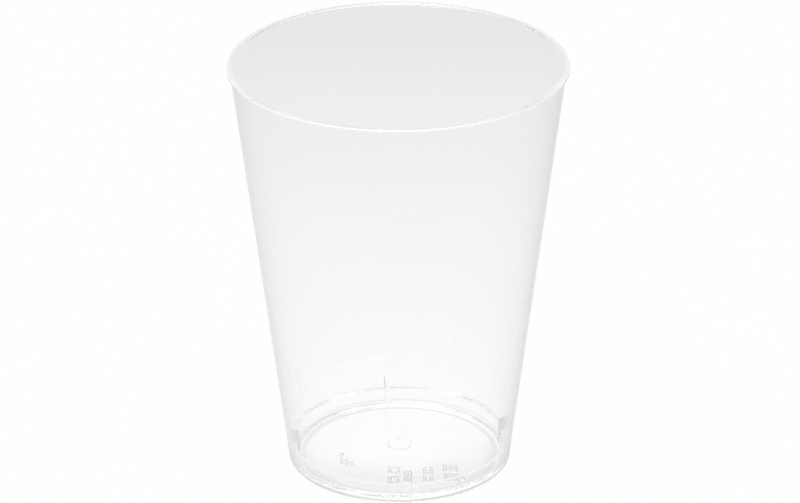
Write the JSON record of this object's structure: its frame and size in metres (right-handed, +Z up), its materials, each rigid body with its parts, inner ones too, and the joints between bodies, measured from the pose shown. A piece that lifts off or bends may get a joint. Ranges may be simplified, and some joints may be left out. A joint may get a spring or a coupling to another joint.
{
  "type": "plastic tumbler cup",
  "caption": "Clear plastic tumbler: a tapered drinking cup with a small rounded lip, internal stacking ribs, a raised fill line and a foot ring.",
  "frame": {"origin": "centre of the foot ring's lower face, on the cup's axis", "axes": "+Z up the cup's axis to the lip; the side with the fill line faces -Y"},
  "size_m": [0.0874, 0.0872, 0.111],
  "materials": {
    "clear_plastic": "clear, polished, as moulded"
  },
  "bodies": {
    "root": {"cup": "clear_plastic"}
  },
  "joints": []
}
